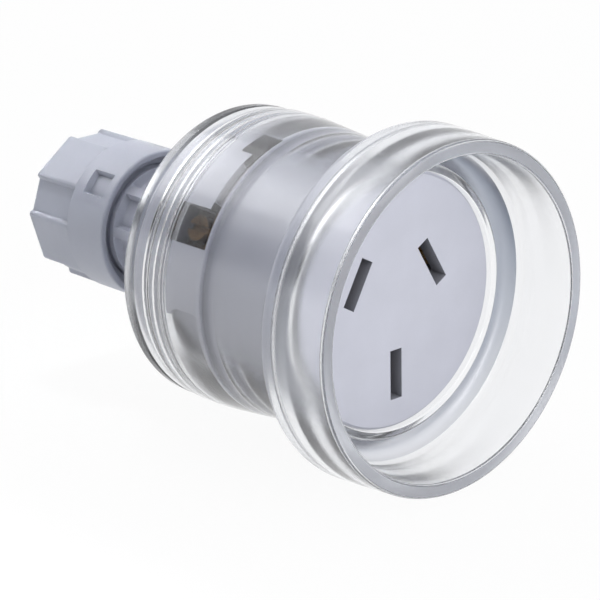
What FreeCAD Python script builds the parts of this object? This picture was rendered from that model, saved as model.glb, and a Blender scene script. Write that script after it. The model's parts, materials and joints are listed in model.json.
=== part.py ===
import FreeCAD, Part
import Sketcher
import os
from math import cos, radians, sin, tan

# Rewirable in-line extension socket, three flat slots, all lengths in millimetres.
# The frame: the origin is the centre of the socket face, -Y looks out of the face,
# +Y runs to the cable gland, +Z is up and the earth slot lies at -Z.
# Angles around the Y axis are counted from +X towards +Z.


class Size:
    """A length that knows its value and the sheet expression that it comes from."""

    def __init__(self, value, text=None):
        self.value = float(value)
        self.text = text if text is not None else repr(float(value))

    def __add__(self, other):
        other = as_size(other)
        return Size(self.value + other.value, f"({self.text} + {other.text})")

    def __sub__(self, other):
        other = as_size(other)
        return Size(self.value - other.value, f"({self.text} - {other.text})")

    def __mul__(self, other):
        other = as_size(other)
        return Size(self.value * other.value, f"({self.text} * {other.text})")

    def __truediv__(self, other):
        other = as_size(other)
        return Size(self.value / other.value, f"({self.text} / {other.text})")

    def __neg__(self):
        return Size(-self.value, f"(0 - {self.text})")

    __radd__ = __add__
    __rmul__ = __mul__


def as_size(value):
    return value if isinstance(value, Size) else Size(value)


# Clearances
running_fit = 0.08  # radial clearance of a turning fit
seat_gap = 0.1  # gap between faces that meet
loose_gap = 0.15  # clearance round a piece laid in a pocket
soft_gap = 0.3  # clearance round sprung and sliding pieces
over = 1.0  # how far a cut runs past the face that it opens

# Shroud and plug recess
recess_depth = 11.4  # lip to socket face
shroud_wall = 2.0  # shroud wall at the lip
shroud_flare = 0.55  # growth of the shroud from lip to shoulder
recess_draft = 0.6  # draft of the recess wall
recess_corner = 1.2  # bevel between recess wall and floor
bead_height = 0.6  # bead round the socket face, in the floor of the recess
bead_width = 1.25  # that bead
floor_ring = 2.43  # recess floor between the bead and the recess wall
shoulder_lead = 0.5  # shoulder's outer corner before the socket face
lip_edge = 0.3  # bevel of the shroud's lip
shoulder_edge = 0.9  # bevel of the shoulder
waist_edge = 0.9  # bevel at the waist
small_edge = 0.3  # small bevels of rims and mouths

# Drum
shell_bore = 17.85  # bore that holds the front of the insert
waist_place = 3.7  # socket face to the waist behind the shroud
waist_wall = 1.35  # shell wall at the waist
seat_place = 17.8  # socket face to the step that the insert sits on
seat_step = 1.55  # height of that step
thread_step = 0.55  # female thread beyond the bore round the insert flange
thread_length = 3.5  # female thread
drum_wall = 1.15  # shell wall at the thread

# Rear cap
spigot_wall = 1.27  # wall of the cap's threaded spigot
cap_inset = 0.15  # cap rim below the drum
plate_room = 0.3  # back plate to the corner inside the cap
cap_edge = 0.5  # bevel of the cap's rear edge
cap_groove = 0.35  # depth of the groove round the cap rim
groove_share = 0.55  # place of the groove along the rim
cap_cone_length = 7.0  # cap's cone
cap_wall = 1.8  # thickness of the cap's end wall
boss_wall = 2.92  # wall of the boss round the gland
cap_boss_length = 1.0  # that boss

# Insert and terminal carrier
insert_flange = 1.4  # flange of the insert behind the seat
carrier_flange = 4.5  # flange of the carrier, which the cap's spigot holds
tower_gap = 0.4  # towers to the cap's spigot
face_edge = 0.35  # chamfer round the socket face
face_thickness = 2.6  # thickness of the slotted face
slot_length = 7.0  # pin slot, long side
slot_width = 2.1  # pin slot, short side
line_pin_radius = 7.92  # centre to active and neutral pins
earth_pin_radius = 10.31  # centre to earth pin
window_length = 6.1  # terminal windows along the axis
window_width = 5.3  # terminal windows across
recess_inset = 0.4  # joint to the front edge of the side recesses
recess_length = 5.6  # side recesses along the axis
recess_floor_depth = 2.1  # depth of the side recesses
corner_share = 0.3  # share of a recess that its cut corners take
top_recess_width = 7.0  # recess on top
side_recess_width = 12.6  # recesses at the sides
top_recess_angle = 95.0  # angle of the top recess in degrees
side_recess_angle = 206.0  # angle of the left recess in degrees

# Contacts and terminals
leaf_thickness = 0.6  # contact strip thickness
leaf_width = 6.0  # contact strip width
leaf_throat = 1.5  # gap between the leaves where they pinch the pin
leaf_flare = 3.2  # gap between the leaves at their mouth
leaf_root = 3.6  # gap between the leaves at the tab
leaf_clear = 0.8  # face wall to the leaf tips
throat_lead = 3.2  # leaf tips to the pinch
tab_short = 1.2  # how far the tab stops short of the block's outer face
block_length = 9.2  # terminal block along the axis
block_room = 0.4  # block to the back plate
block_side = 1.4  # block wall beside the tunnel
block_inner = 8.9  # inner face of the block from the axis
block_roof = 1.9  # block wall over the tunnel, where the screw is held
tunnel_width = 4.0  # wire tunnel across
tunnel_height = 4.0  # wire tunnel in the radial direction
tunnel_floor = 0.8  # block wall under the tunnel
screw_radius = 1.75  # terminal screw
screw_length = 3.8  # terminal screw
clamp_thickness = 0.6  # wire clamp plate
clamp_gap = 0.05  # screw tip to its clamp plate
clamp_length = 4.6  # wire clamp plate along the tunnel
driver_slot_width = 0.8  # screwdriver slot
driver_slot_depth = 0.9  # screwdriver slot

# Back plate
plate_thickness = 1.5  # back plate
wire_hole_radius = 2.2  # wire holes of the back plate
plate_screw_radius = 1.5  # back plate screw shank
head_overhang = 1.3  # screw head beyond its shank
plate_screw_length = 8.0  # back plate screw shank
pilot_extra = 0.5  # pilot hole beyond the screw's tip
head_height = 1.8  # back plate screw head

# Gland
seal_bore = 4.2  # cable seal bore
seal_wall = 2.7  # cable seal wall
seal_length = 6.5  # cable seal inside the stem
seal_proud = 0.5  # how far the seal stands out of the stem
stem_wall = 1.55  # stem wall round the seal
stem_lip = 1.65  # step that the seal sits on
core_wall = 1.9  # stem wall between its grip ribs
stem_flange_height = 2.6  # flange that the cap traps, above the stem
stem_flange_length = 1.9  # thickness of that flange
rib_count = 8
rib_width = 1.7  # stem grip ribs
rib_phase = 40.0  # angle of the first stem rib in degrees
rib_gap = 0.4  # cap boss to the stem's ribs
ribs_length = 9.0  # ribbed stretch of the stem
stem_thread_length = 7.6  # threaded stretch of the stem
key_count = 3
key_angle = 90.0  # angle of the first key in degrees
key_width = 3.0  # keys that stop the stem turning
key_height = 1.5  # those keys in the radial direction
key_root = 0.5  # how deep the keys start in the flange
key_inset = 0.4  # keys to the flange's edge
key_depth = 1.1  # how far the keys enter the back plate
nut_gap = 9.2  # cap boss to nut mouth
nut_length = 17.0  # gland nut
mouth_step = 1.28  # lead-in of the nut beyond its thread
mouth_depth = 1.6  # depth of that lead-in
collar_wall = 1.0  # collar wall at the mouth
collar_length = 7.8  # gland nut collar
lobe_count = 5
lobe_flat_depth = 0.6  # flats of the lobes below their corners
channel_depth = 0.9  # flats between the lobes below their corners
channel_angle = 27.0  # angle that one channel takes in degrees
channel_phase = 17.5  # angle of the first channel in degrees
nut_edge = 0.6  # bevel of the nut's end
cable_gap = 1.4  # cable hole of the nut beyond the seal's bore
nut_end_wall = 2.3  # end wall of the nut
seat_shrink = 0.88  # washer seat inside the nut below its thread
collar_window_count = 3
collar_window_width = 3.6  # collar windows across
collar_window_length = 4.1  # collar windows along the axis
collar_window_front = 1.5  # nut mouth to its windows
collar_window_depth = 0.9  # collar windows, depth
collar_window_phase = 18.5  # angle of the first collar window in degrees
washer_thickness = 0.8  # thrust washer
collet_base = 1.0  # closed ring of the collet
collet_step = 0.4  # collet bore beyond the seal's bore
collet_clear = 0.4  # collet to the nut
collet_slot = 1.0  # slots between the collet fingers
finger_count = 6

doc = FreeCAD.newDocument("inline_socket")
sheet = doc.addObject("Spreadsheet::Sheet", "Sizes")

# Each size above goes to the sheet, and from here on its name stands for its cell
sizes = {name: value for name, value in globals().items() if isinstance(value, float)}
for row, (name, value) in enumerate(sizes.items(), 1):
    sheet.set(f"A{row}", name)
    sheet.set(f"B{row}", str(value))
    sheet.setAlias(f"B{row}", name)
globals().update({name: Size(value, f"Sizes.{name}") for name, value in sizes.items()})
doc.recompute()

V = FreeCAD.Vector
subparts = []


def origin_feature(body, role):
    """Return one of the body's own origin planes or axes."""
    return [item for item in body.Origin.OriginFeatures if item.Role == role][0]


def new_body(label):
    """Start one sub-part. Its label is its file's name."""
    body = doc.addObject("PartDesign::Body", label)
    body.Label = label
    subparts.append(body)
    return body


def new_sketch(body, name, role="XY_Plane", base=(0, 0, 0), spin_axis=V(0, 0, 1), angle=0):
    """Lay a sketch on an origin plane, moved by base and turned by angle (degrees)."""
    base = [as_size(value) for value in base]
    angle = as_size(angle)
    sketch = body.newObject("Sketcher::SketchObject", name)
    sketch.AttachmentSupport = (origin_feature(body, role), [""])
    sketch.MapMode = "FlatFace"
    start = V(base[0].value, base[1].value, base[2].value)
    sketch.AttachmentOffset = FreeCAD.Placement(start, FreeCAD.Rotation(spin_axis, angle.value))
    for letter, value in zip("xyz", base):
        if value.value:
            sketch.setExpression(f"AttachmentOffset.Base.{letter}", value.text)
    if angle.text.startswith("Sizes") or "(" in angle.text:
        sketch.setExpression("AttachmentOffset.Rotation.Angle", angle.text)
    return sketch


def bind_point(sketch, geometry, point, x, y):
    """Hold one sketch point at (x, y) from the sketch's origin."""
    if x.value == 0:
        sketch.addConstraint(Sketcher.Constraint("PointOnObject", geometry, point, -2))
    else:
        index = sketch.addConstraint(Sketcher.Constraint("DistanceX", -1, 1, geometry, point, x.value))
        sketch.setExpression(f"Constraints[{index}]", x.text)
    if y.value == 0:
        sketch.addConstraint(Sketcher.Constraint("PointOnObject", geometry, point, -1))
    else:
        index = sketch.addConstraint(Sketcher.Constraint("DistanceY", -1, 1, geometry, point, y.value))
        sketch.setExpression(f"Constraints[{index}]", y.text)


def outline(sketch, points):
    """Draw one closed outline of straight sides through points held by the sheet."""
    points = [(as_size(x), as_size(y)) for x, y in points]
    first = sketch.GeometryCount
    count = len(points)
    corners = [V(x.value, y.value, 0) for x, y in points]
    for index in range(count):
        side = Part.LineSegment(corners[index], corners[(index + 1) % count])
        sketch.addGeometry(side, False)
    for index in range(count):
        following = first + (index + 1) % count
        sketch.addConstraint(Sketcher.Constraint("Coincident", first + index, 2, following, 1))
    for index, (x, y) in enumerate(points):
        bind_point(sketch, first + index, 1, x, y)


def rectangle(sketch, x_low, x_high, y_low, y_high):
    outline(sketch, [(x_low, y_low), (x_high, y_low), (x_high, y_high), (x_low, y_high)])


def circle(sketch, radius, x=0, y=0):
    """Draw one circle whose centre and radius are held by the sheet."""
    x, y, radius = as_size(x), as_size(y), as_size(radius)
    index = sketch.addGeometry(Part.Circle(V(x.value, y.value, 0), V(0, 0, 1), radius.value), False)
    bind_point(sketch, index, 3, x, y)
    held = sketch.addConstraint(Sketcher.Constraint("Radius", index, radius.value))
    sketch.setExpression(f"Constraints[{held}]", radius.text)


def revolved(body, name, points):
    """Turn an outline of (radius, place along the axis) points round the Y axis."""
    sketch = new_sketch(body, name + "_profile")
    outline(sketch, points)
    feature = body.newObject("PartDesign::Revolution", name)
    feature.Profile = sketch
    feature.ReferenceAxis = (sketch, ["V_Axis"])
    feature.Angle = 360
    doc.recompute()
    return feature


def padded(body, name, sketch, length, backwards=False, middle=False):
    length = as_size(length)
    feature = body.newObject("PartDesign::Pad", name)
    feature.Profile = sketch
    feature.Length = length.value
    feature.setExpression("Length", length.text)
    feature.Reversed = backwards
    feature.Midplane = middle
    doc.recompute()
    return feature


def pocketed(body, name, sketch, length, backwards=False, middle=False):
    """Cut a pocket and stop if it removes nothing."""
    length = as_size(length)
    before = body.Shape.Volume
    feature = body.newObject("PartDesign::Pocket", name)
    feature.Profile = sketch
    feature.Length = length.value
    feature.setExpression("Length", length.text)
    feature.Reversed = backwards
    feature.Midplane = middle
    doc.recompute()
    if not body.Shape.Volume < before - 1e-6:
        raise RuntimeError(f"{body.Label} {name} cuts nothing")
    return feature


def repeated(body, feature, count):
    """Repeat one feature evenly round the Y axis."""
    pattern = body.newObject("PartDesign::PolarPattern", feature.Name + "_pattern")
    pattern.Originals = [feature]
    pattern.Axis = (origin_feature(body, "Y_Axis"), [""])
    pattern.Angle = 360
    pattern.Occurrences = count
    body.Tip = pattern
    doc.recompute()
    return pattern


def ring_edges(body, rings):
    """Name the round edges about the Y axis that have these (radius, place) pairs."""
    names = []
    for index, edge in enumerate(body.Shape.Edges):
        if not isinstance(edge.Curve, Part.Circle):
            continue
        centre = edge.Curve.Center
        for radius, place in rings:
            near = abs(edge.Curve.Radius - radius.value) + abs(centre.y - place.value) < 1e-4
            if near and abs(centre.x) + abs(centre.z) < 1e-4:
                names.append(f"Edge{index + 1}")
    if len(names) < len(rings):
        raise RuntimeError(f"{body.Label} lacks a round edge")
    return names


def bevelled(body, name, size, rings):
    size = as_size(size)
    base = body.Tip
    feature = body.newObject("PartDesign::Chamfer", name)
    feature.Base = (base, ring_edges(body, rings))
    feature.Size = size.value
    feature.setExpression("Size", size.text)
    doc.recompute()
    return feature


def across_axis(body, name, place, angle=0):
    """Sketch square to the axis at a place along it: x is +X and y is +Z, turned by angle."""
    return new_sketch(body, name, "XZ_Plane", (0, 0, -as_size(place)), V(0, 0, 1), angle)


def radial_sketch(body, name, radius, angle):
    """Sketch that faces outwards at an angle: its y is the axis, its middle is the radius."""
    radius, angle = as_size(radius), as_size(angle)
    turn = Size(90) - angle
    side = Size(radius.value * sin(radians(turn.value)), f"({radius.text} * sin({turn.text}))")
    height = Size(radius.value * cos(radians(turn.value)), f"({radius.text} * cos({turn.text}))")
    return new_sketch(body, name, "XY_Plane", (side, 0, height), V(0, 1, 0), turn)


def turned(body, angle):
    """Turn a sub-part made along +X to its own angle round the axis."""
    body.Placement = FreeCAD.Placement(V(0, 0, 0), FreeCAD.Rotation(V(0, 1, 0), -angle))


# Radii that several pieces share
bead_radius = shell_bore + bead_width
recess_foot = bead_radius + floor_ring
recess_wall = recess_foot + recess_draft
lip_radius = recess_wall + shroud_wall
shoulder_radius = lip_radius + shroud_flare
waist_radius = shell_bore + waist_wall
seat_bore = shell_bore + seat_step
thread_radius = seat_bore + thread_step
drum_radius = thread_radius + drum_wall
cap_radius = drum_radius - cap_inset
spigot_radius = thread_radius - running_fit
spigot_bore = spigot_radius - spigot_wall
face_radius = shell_bore - seat_gap
flange_radius = seat_bore - seat_gap
tower_radius = spigot_bore - tower_gap
recess_floor = flange_radius - recess_floor_depth
tunnel_low = block_inner + tunnel_floor
tunnel_high = tunnel_low + tunnel_height
block_outer = tunnel_high + block_roof
block_width = tunnel_width + block_side * 2
clamp_high = tunnel_high - loose_gap
clamp_low = clamp_high - clamp_thickness
chamber_across = leaf_root / 2 + leaf_thickness + seat_gap
chamber_along = leaf_width / 2 + soft_gap
plate_screw_head = plate_screw_radius + head_overhang
seal_radius = seal_bore + seal_wall
seal_seat = seal_radius + loose_gap
stem_bore = seal_seat - stem_lip
stem_radius = seal_seat + stem_wall
stem_core_radius = stem_bore + core_wall
stem_flange_radius = stem_radius + stem_flange_height
cap_hole = stem_radius + running_fit
cap_boss_radius = cap_hole + boss_wall
nut_thread_radius = stem_radius + running_fit
mouth_radius = nut_thread_radius + mouth_step
collar_radius = mouth_radius + collar_wall
nut_seat_radius = nut_thread_radius - seat_shrink
cable_hole = seal_bore + cable_gap

# Places along the axis that several pieces share
carrier_front = seat_place + insert_flange
thread_place = carrier_front + carrier_flange
drum_rim = thread_place + thread_length
recess_front = carrier_front + recess_inset
leaf_front = face_thickness + leaf_clear
throat_place = leaf_front + throat_lead
tab_place = carrier_front + seat_gap
block_front = tab_place + leaf_thickness
screw_place = carrier_front + window_length / 2
insert_length = block_front + block_length + block_room
plate_rear = insert_length + plate_thickness
spigot_front = thread_place + seat_gap
cap_front = drum_rim + seat_gap
cap_inner_corner = plate_rear + plate_room
cap_rim_end = cap_inner_corner + seat_gap
cap_cone_end = cap_rim_end + cap_cone_length
cap_end = cap_cone_end + cap_boss_length
cap_inner_end = cap_cone_end - cap_wall
stem_flange_rear = cap_inner_end - seat_gap
stem_flange_front = stem_flange_rear - stem_flange_length
ribs_front = cap_end + rib_gap
ribs_rear = ribs_front + ribs_length
stem_end = ribs_rear + stem_thread_length
seal_front = stem_end + seal_proud - seal_length
collet_front = stem_end + seal_proud
nut_front = cap_end + nut_gap
nut_end = nut_front + nut_length
washer_rear = nut_end - nut_end_wall - seat_gap
washer_front = washer_rear - washer_thickness
collet_end = washer_front - soft_gap
terminals = (
    ("active", 30, line_pin_radius), ("neutral", 150, line_pin_radius), ("earth", 270, earth_pin_radius))


def front_shell():
    """Clear shroud, recess and tapered drum in one moulding."""
    body = new_body("front_shell")
    shoulder_place = -shoulder_lead
    revolved(body, "shell_wall", [
        (recess_wall, -recess_depth), (lip_radius, -recess_depth),
        (shoulder_radius, shoulder_place), (waist_radius, waist_place),
        (drum_radius, thread_place), (drum_radius, drum_rim),
        (thread_radius, drum_rim), (thread_radius, thread_place),
        (seat_bore, thread_place), (seat_bore, seat_place),
        (shell_bore, seat_place), (shell_bore, -bead_height),
        (bead_radius, -bead_height), (bead_radius, 0), (recess_foot, 0)])
    bevelled(body, "recess_bevel", recess_corner, [(recess_foot, Size(0))])
    bevelled(body, "shoulder_bevel", shoulder_edge, [(shoulder_radius, shoulder_place)])
    bevelled(body, "waist_bevel", waist_edge, [(waist_radius, waist_place)])
    bevelled(body, "lip_bevel", lip_edge, [(lip_radius, -recess_depth)])
    bevelled(body, "rim_bevel", small_edge, [(drum_radius, drum_rim)])


def rear_cap():
    """Clear screw cap: threaded spigot, rim with its groove, cone and boss."""
    body = new_body("rear_cap")
    groove_middle = cap_front + (cap_rim_end - cap_front) * groove_share
    revolved(body, "cap_wall", [
        (spigot_bore, spigot_front), (spigot_radius, spigot_front),
        (spigot_radius, cap_front), (cap_radius, cap_front),
        (cap_radius, groove_middle - cap_groove), (cap_radius - cap_groove, groove_middle),
        (cap_radius, groove_middle + cap_groove), (cap_radius, cap_rim_end),
        (cap_boss_radius, cap_cone_end), (cap_boss_radius, cap_end), (cap_hole, cap_end),
        (cap_hole, cap_inner_end), (cap_boss_radius, cap_inner_end), (spigot_bore, cap_inner_corner)])
    bevelled(body, "cap_edge_bevel", cap_edge, [(cap_radius, cap_rim_end)])
    bevelled(body, "boss_bevel", small_edge, [(cap_boss_radius, cap_end)])


def contact_cuts(body, name, angle, pin_radius):
    """Slot of one pin and the chamber behind it, open at the rear."""
    if name == "earth":
        slot_u, slot_w = slot_length / 2, slot_width / 2
        chamber_u, chamber_w = chamber_along, chamber_across
    else:
        slot_u, slot_w = slot_width / 2, slot_length / 2
        chamber_u, chamber_w = chamber_across, chamber_along
    sketch = across_axis(body, name + "_slot_sketch", 0, angle)
    rectangle(sketch, pin_radius - slot_u, pin_radius + slot_u, -slot_w, slot_w)
    pocketed(body, name + "_slot", sketch, face_thickness + over)
    sketch = across_axis(body, name + "_chamber_sketch", face_thickness, angle)
    rectangle(sketch, pin_radius - chamber_u, pin_radius + chamber_u, -chamber_w, chamber_w)
    pocketed(body, name + "_chamber", sketch, carrier_front - face_thickness + over)


def socket_insert():
    """Grey moulding with the slotted face, the contact chambers and a seat flange."""
    body = new_body("socket_insert")
    revolved(body, "insert_body", [
        (0, 0), (face_radius, 0), (face_radius, seat_place), (flange_radius, seat_place),
        (flange_radius, carrier_front), (0, carrier_front)])
    bevelled(body, "face_chamfer", face_edge, [(face_radius, Size(0))])
    for name, angle, pin_radius in terminals:
        contact_cuts(body, name, angle, pin_radius)


def side_recess(body, name, angle, width):
    """Shallow recess in the side of the carrier, its front corners cut back."""
    sketch = radial_sketch(body, name + "_sketch", recess_floor, angle)
    rear = recess_front + recess_length
    corner = recess_length * corner_share
    outline(sketch, [
        (-width / 2, rear), (-width / 2, recess_front + corner), (-(width / 2 - corner), recess_front),
        (width / 2 - corner, recess_front), (width / 2, recess_front + corner), (width / 2, rear)])
    pocketed(body, name, sketch, flange_radius - recess_floor + over, backwards=True)


def terminal_carrier():
    """Grey moulding behind the insert that holds the terminal blocks, with screw windows."""
    body = new_body("terminal_carrier")
    revolved(body, "carrier_body", [
        (0, carrier_front), (flange_radius, carrier_front), (flange_radius, thread_place),
        (tower_radius, thread_place), (tower_radius, insert_length), (0, insert_length)])
    for name, angle, pin_radius in terminals:
        inner = pin_radius - (chamber_along if name == "earth" else chamber_across)
        half = block_width / 2 + loose_gap
        sketch = across_axis(body, name + "_pocket_sketch", carrier_front, angle)
        rectangle(sketch, inner, block_outer + loose_gap, -half, half)
        pocketed(body, name + "_pocket", sketch, insert_length - carrier_front)
        sketch = radial_sketch(body, name + "_window_sketch", block_outer, angle)
        half = window_width / 2
        rectangle(sketch, -half, half, carrier_front, carrier_front + window_length)
        pocketed(body, name + "_window", sketch, flange_radius - block_outer + over, backwards=True)
    side_recess(body, "top_recess", top_recess_angle, top_recess_width)
    side_recess(body, "left_recess", side_recess_angle, side_recess_width)
    side_recess(body, "right_recess", Size(180) - side_recess_angle, side_recess_width)
    sketch = across_axis(body, "pilot_sketch", insert_length)
    circle(sketch, plate_screw_radius)
    pocketed(body, "pilot", sketch, plate_screw_length - plate_thickness + pilot_extra, backwards=True)


def insert_back_plate():
    """Grey plate behind the blocks, with wire holes, key notches and a screw hole."""
    body = new_body("insert_back_plate")
    sketch = across_axis(body, "plate_sketch", insert_length)
    circle(sketch, tower_radius - loose_gap)
    padded(body, "plate", sketch, plate_thickness, backwards=True)
    sketch = across_axis(body, "wire_hole_sketch", insert_length, terminals[0][1])
    circle(sketch, wire_hole_radius, (tunnel_low + tunnel_high) / 2, 0)
    hole = pocketed(body, "wire_hole", sketch, plate_thickness)
    repeated(body, hole, len(terminals))
    sketch = across_axis(body, "notch_sketch", insert_length, key_angle)
    outer = stem_flange_radius - key_inset
    half = key_width / 2 + loose_gap
    rectangle(sketch, outer - key_height - loose_gap, outer + loose_gap, -half, half)
    notch = pocketed(body, "key_notch", sketch, plate_thickness)
    repeated(body, notch, key_count)
    sketch = across_axis(body, "screw_hole_sketch", insert_length)
    circle(sketch, plate_screw_radius)
    pocketed(body, "screw_hole", sketch, plate_thickness)


def driver_slot(body, name, radius, face, depth, angle=0):
    """Cut one screwdriver slot across a round head that faces along +Y."""
    sketch = across_axis(body, name + "_sketch", face, angle)
    half = driver_slot_width / 2
    rectangle(sketch, -(radius + over), radius + over, -half, half)
    pocketed(body, name, sketch, depth, backwards=True)


def back_plate_screw():
    """Screw in the middle of the back plate, with a round slotted head."""
    body = new_body("back_plate_screw")
    head_top = plate_rear + head_height
    revolved(body, "screw", [
        (0, plate_rear - plate_screw_length), (plate_screw_radius, plate_rear - plate_screw_length),
        (plate_screw_radius, plate_rear), (plate_screw_head, plate_rear),
        (plate_screw_head, head_top), (0, head_top)])
    bevelled(body, "head_bevel", small_edge, [(plate_screw_head, head_top)])
    driver_slot(body, "slot", plate_screw_head, head_top, driver_slot_depth)


def contact(name, angle, pin_radius):
    """Sprung leaf pair with its tab, made along +X and then turned to its place."""
    body = new_body(name + "_contact")
    mouth = leaf_flare / 2
    pinch = leaf_throat / 2
    root = leaf_root / 2
    thick = leaf_thickness
    leaf = [
        (root + thick, block_front), (root + thick, tab_place), (pinch + thick, throat_place),
        (mouth + thick, leaf_front), (mouth, leaf_front), (pinch, throat_place), (root, tab_place)]
    pair = leaf + [(-across, place) for across, place in reversed(leaf)]
    if name == "earth":
        sketch = new_sketch(body, "leaf_sketch", "YZ_Plane", (0, 0, pin_radius))
        outline(sketch, [(place, across) for across, place in pair])
        tab_inner = pin_radius - leaf_width / 2
    else:
        sketch = new_sketch(body, "leaf_sketch", "XY_Plane")
        outline(sketch, [(pin_radius + across, place) for across, place in pair])
        tab_inner = pin_radius - root - thick
    padded(body, "leaves", sketch, leaf_width, middle=True)
    sketch = across_axis(body, "tab_sketch", tab_place)
    rectangle(sketch, tab_inner, block_outer - tab_short, -leaf_width / 2, leaf_width / 2)
    padded(body, "tab", sketch, leaf_thickness, backwards=True)
    turned(body, angle)


def terminal_block(name, angle):
    """Brass block with its wire tunnel along the axis and a radial screw hole."""
    body = new_body(name + "_terminal_block")
    sketch = across_axis(body, "block_sketch", block_front)
    half = block_width / 2
    rectangle(sketch, block_inner, block_outer, -half, half)
    padded(body, "block", sketch, block_length, backwards=True)
    sketch = across_axis(body, "tunnel_sketch", block_front)
    half = tunnel_width / 2
    rectangle(sketch, tunnel_low, tunnel_high, -half, half)
    pocketed(body, "tunnel", sketch, block_length)
    sketch = new_sketch(body, "screw_hole_sketch", "YZ_Plane", (0, 0, block_outer))
    circle(sketch, screw_radius + running_fit, screw_place, 0)
    pocketed(body, "screw_hole", sketch, block_outer - tunnel_high + over)
    turned(body, angle)


def wire_clamp(name, angle):
    """Plate that the terminal screw presses on the wire."""
    body = new_body(name + "_wire_clamp")
    half = tunnel_width / 2 - loose_gap
    sketch = new_sketch(body, "clamp_sketch", "YZ_Plane", (0, 0, clamp_low))
    low = block_front + loose_gap
    rectangle(sketch, low, low + clamp_length, -half, half)
    padded(body, "clamp", sketch, clamp_thickness)
    turned(body, angle)


def terminal_screw(name, angle):
    """Slotted screw that stands in its window and points at the axis."""
    body = new_body(name + "_terminal_screw")
    tip = clamp_high + clamp_gap
    head = tip + screw_length
    sketch = new_sketch(body, "shank_sketch", "YZ_Plane", (0, 0, tip))
    circle(sketch, screw_radius, screw_place, 0)
    padded(body, "shank", sketch, screw_length)
    sketch = new_sketch(body, "driver_sketch", "YZ_Plane", (0, 0, head))
    half = driver_slot_width / 2
    reach = screw_radius + over
    rectangle(sketch, screw_place - reach, screw_place + reach, -half, half)
    pocketed(body, "driver_slot", sketch, driver_slot_depth)
    turned(body, angle)


def gland_stem():
    """Grey stem: trapped flange, bearing neck, grip ribs, thread and its keys."""
    body = new_body("gland_stem")
    revolved(body, "stem_body", [
        (stem_bore, stem_flange_front), (stem_flange_radius, stem_flange_front),
        (stem_flange_radius, stem_flange_rear), (stem_radius, stem_flange_rear),
        (stem_radius, ribs_front), (stem_core_radius, ribs_front),
        (stem_core_radius, ribs_rear), (stem_radius, ribs_rear),
        (stem_radius, stem_end), (seal_seat, stem_end),
        (seal_seat, seal_front), (stem_bore, seal_front)])
    sketch = across_axis(body, "rib_sketch", ribs_front - seat_gap, rib_phase)
    rectangle(sketch, stem_core_radius - soft_gap, stem_radius - loose_gap, -rib_width / 2, rib_width / 2)
    rib = padded(body, "rib", sketch, ribs_length + seat_gap * 2, backwards=True)
    repeated(body, rib, rib_count)
    sketch = across_axis(body, "key_sketch", stem_flange_front + key_root, key_angle)
    outer = stem_flange_radius - key_inset
    rectangle(sketch, outer - key_height, outer, -key_width / 2, key_width / 2)
    key = padded(body, "key", sketch, stem_flange_front + key_root - plate_rear + key_depth)
    repeated(body, key, key_count)


def cable_seal():
    """Rubber sleeve that the collet squeezes."""
    body = new_body("cable_seal")
    revolved(body, "sleeve", [
        (seal_bore, seal_front), (seal_radius, seal_front), (seal_radius, collet_front),
        (seal_bore, collet_front)])


def grip_collet():
    """Split collet with a closed ring and tapered fingers."""
    body = new_body("grip_collet")
    grip_bore = seal_bore + collet_step
    revolved(body, "cone", [
        (grip_bore, collet_front), (nut_thread_radius - collet_clear, collet_front),
        (nut_thread_radius - collet_clear, collet_front + collet_base),
        (nut_seat_radius - collet_clear, collet_end), (grip_bore, collet_end)])
    sketch = across_axis(body, "slit_sketch", collet_front + collet_base)
    rectangle(sketch, grip_bore - over, nut_thread_radius + over, -collet_slot / 2, collet_slot / 2)
    slit = pocketed(body, "slit", sketch, collet_end - collet_front)
    repeated(body, slit, finger_count)


def thrust_washer():
    """Washer between the collet and the nut's end wall."""
    body = new_body("thrust_washer")
    sketch = across_axis(body, "washer_sketch", washer_front)
    circle(sketch, nut_seat_radius - seat_gap)
    circle(sketch, cable_hole)
    padded(body, "washer", sketch, washer_thickness, backwards=True)


def gland_nut():
    """Grey nut: collar with windows, then five wide lobes between five channels."""
    body = new_body("gland_nut")
    thread_rear = stem_end + over
    revolved(body, "nut_wall", [
        (mouth_radius, nut_front), (collar_radius, nut_front),
        (collar_radius, nut_end),
        (cable_hole, nut_end), (cable_hole, washer_rear + seat_gap),
        (nut_seat_radius, washer_rear + seat_gap), (nut_seat_radius, washer_front),
        (nut_thread_radius, thread_rear), (nut_thread_radius, nut_front + mouth_depth),
        (mouth_radius, nut_front + mouth_depth)])
    bevelled(body, "end_bevel", nut_edge, [(collar_radius, nut_end)])
    bevelled(body, "mouth_bevel", small_edge, [(collar_radius, nut_front)])
    grip_front = nut_front + collar_length
    grip_length = nut_length - collar_length + over
    beyond = collar_radius + over
    flat = collar_radius - lobe_flat_depth
    half_lobe = 180 / lobe_count
    sketch = across_axis(body, "lobe_sketch", grip_front, channel_phase + half_lobe)
    rectangle(sketch, flat, beyond, -beyond / 2, beyond / 2)
    lobe = pocketed(body, "lobe_flat", sketch, grip_length)
    repeated(body, lobe, lobe_count)
    floor = collar_radius - channel_depth
    half = Size(tan(radians(channel_angle.value / 2)), f"tan({channel_angle.text} / 2)")
    sketch = across_axis(body, "channel_sketch", grip_front, channel_phase)
    outline(sketch, [
        (floor, -(floor * half)), (beyond, -(beyond * half)), (beyond, beyond * half),
        (floor, floor * half)])
    channel = pocketed(body, "channel", sketch, grip_length)
    repeated(body, channel, lobe_count)
    window_place = nut_front + collar_window_front
    sketch = radial_sketch(body, "window_sketch", collar_radius - collar_window_depth, collar_window_phase)
    half = collar_window_width / 2
    rectangle(sketch, -half, half, window_place, window_place + collar_window_length)
    window = pocketed(body, "window", sketch, collar_window_depth + over, backwards=True)
    repeated(body, window, collar_window_count)


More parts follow.
